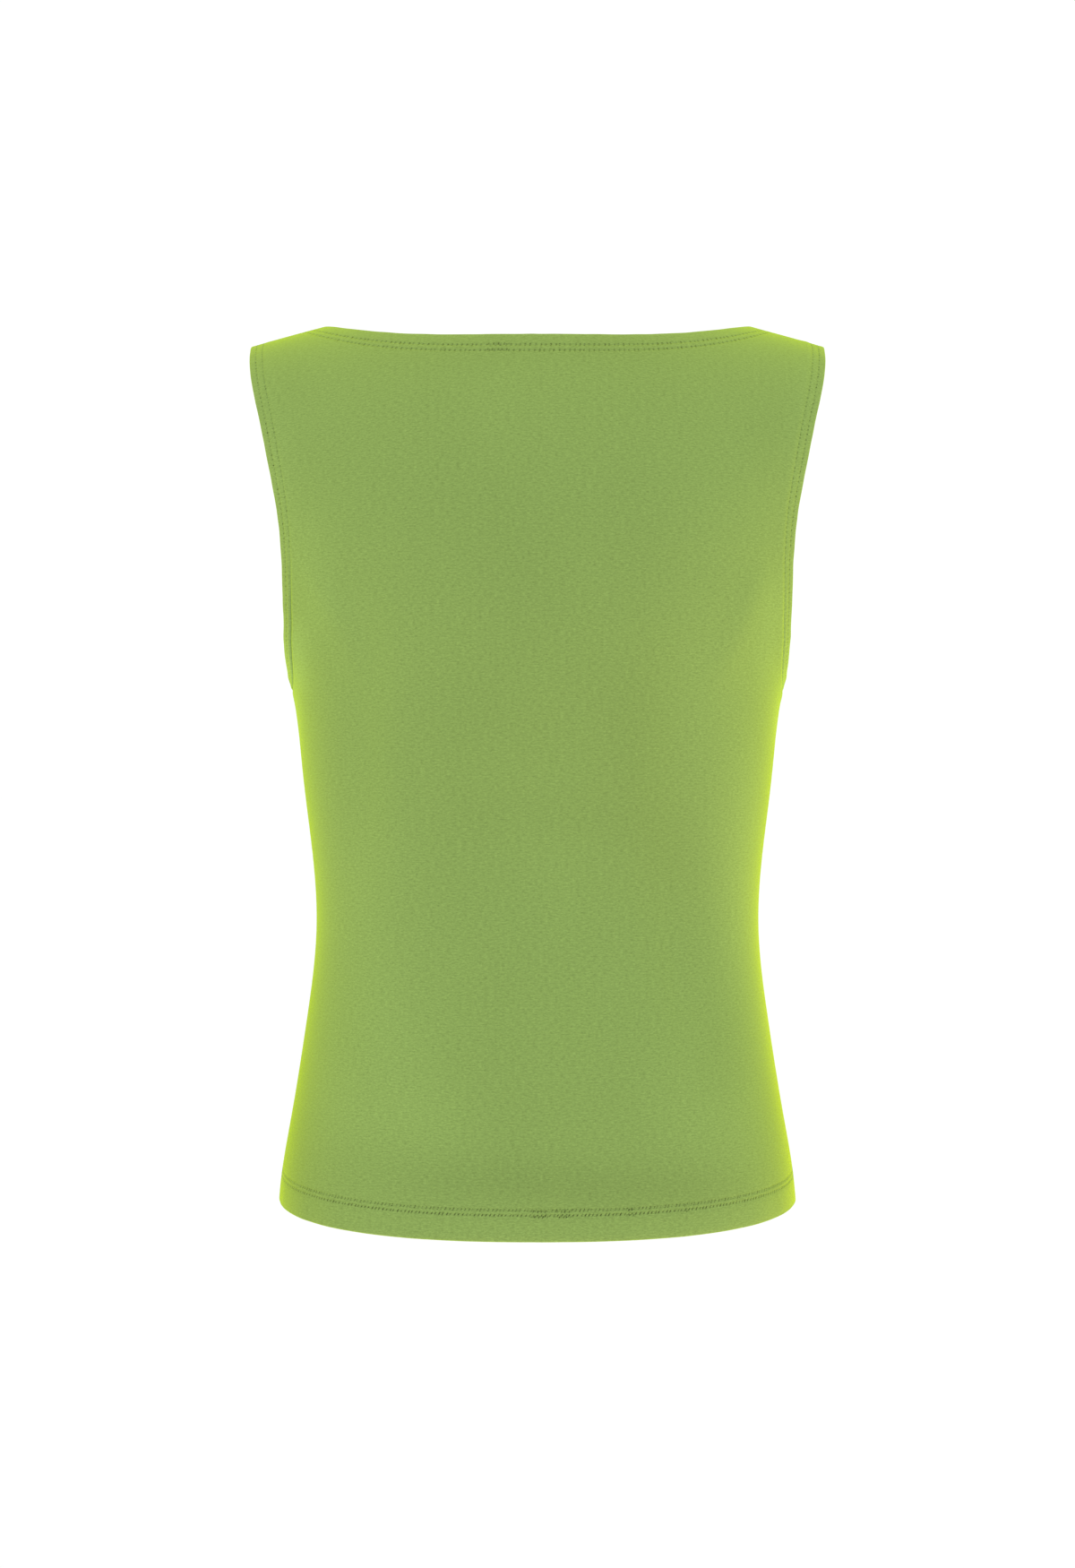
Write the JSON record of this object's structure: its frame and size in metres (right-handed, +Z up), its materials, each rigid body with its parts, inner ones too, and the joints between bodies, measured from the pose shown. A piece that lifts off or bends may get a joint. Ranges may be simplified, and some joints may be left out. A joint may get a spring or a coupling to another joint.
{
  "type": "tank top",
  "caption": "Close-fitting sleeveless boat-neck tank top in fine jersey, hollow as worn, with turned and stitched neck, armholes and hem.",
  "frame": {"origin": "midway between the shoulders, at the height where the neckline crosses the shoulder seams, where the wearer's shoulders carry the garment", "axes": "+Z up, +Y towards the garment's front, +X to the wearer's right"},
  "size_m": [0.333, 0.2144, 0.517],
  "materials": {
    "jersey": "fine single jersey, matt, light grass green",
    "jersey_turned": "the same jersey turned to the inside, so that its knit side faces the wearer",
    "thread": "matching polyester sewing thread"
  },
  "bodies": {
    "root": {"back_panel": "jersey", "back_turning_neck": "jersey_turned", "back_turning_armhole_left": "jersey_turned", "back_turning_armhole_right": "jersey_turned", "back_turning_hem": "jersey_turned", "front_panel": "jersey", "front_turning_neck": "jersey_turned", "front_turning_armhole_left": "jersey_turned", "front_turning_armhole_right": "jersey_turned", "front_turning_hem": "jersey_turned"}
  },
  "joints": []
}
